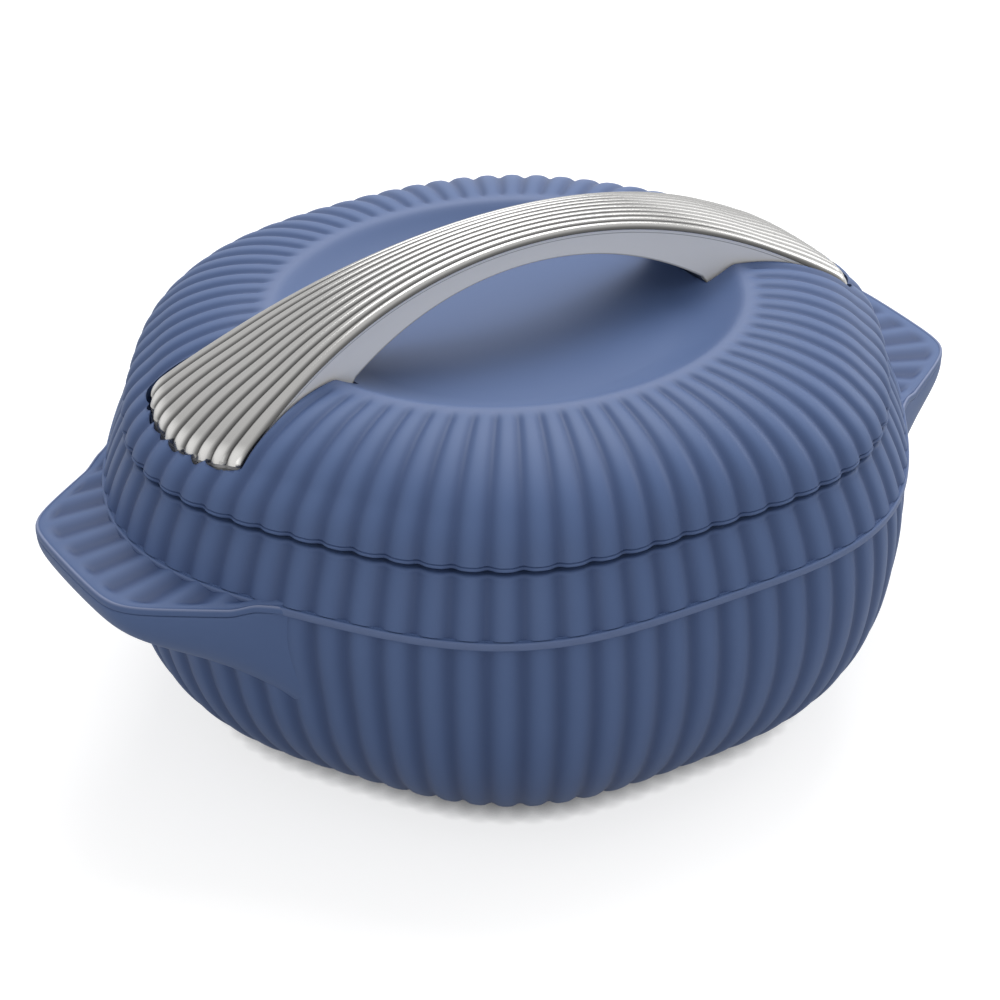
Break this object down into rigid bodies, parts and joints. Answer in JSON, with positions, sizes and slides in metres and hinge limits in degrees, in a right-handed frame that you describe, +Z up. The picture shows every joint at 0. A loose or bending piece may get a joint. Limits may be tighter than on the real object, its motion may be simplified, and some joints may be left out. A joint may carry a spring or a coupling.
{
  "type": "insulated casserole",
  "caption": "Oval fluted insulated casserole with ear handles, a steel bowl inside, and a lift-off domed lid carrying an arched ribbed chrome handle over a shallow dish.",
  "frame": {"origin": "on the table under the middle of the bowl", "axes": "+X along the two ears and the handle, +Z up the way the lid lifts"},
  "size_m": [0.311, 0.2414, 0.1546],
  "materials": {
    "blue_plastic": "soft matte moulded, slate blue",
    "steel": "satin stainless",
    "foam": "cellular polyurethane",
    "dark_plastic": "moulded, dark",
    "pale_plastic": "moulded, food safe",
    "silicone": "soft silicone",
    "chrome": "bright plated, ribbed"
  },
  "bodies": {
    "body": {"body_shell": "blue_plastic", "rim_collar": "blue_plastic", "inner_bowl": "steel", "body_foam": "foam", "base_cover": "blue_plastic", "base_plug": "dark_plastic"},
    "lid": {"lid_shell": "blue_plastic", "lid_liner": "pale_plastic", "lid_foam": "foam", "lid_plug": "pale_plastic", "lid_gasket": "silicone", "handle_core": "dark_plastic", "handle_cover": "chrome", "handle_screws": "steel"}
  },
  "joints": [
    {"name": "lid_lift", "type": "slide", "parent": "body", "child": "lid", "axis": [0, 0, 1], "range_m": [0, 0.14]}
  ]
}
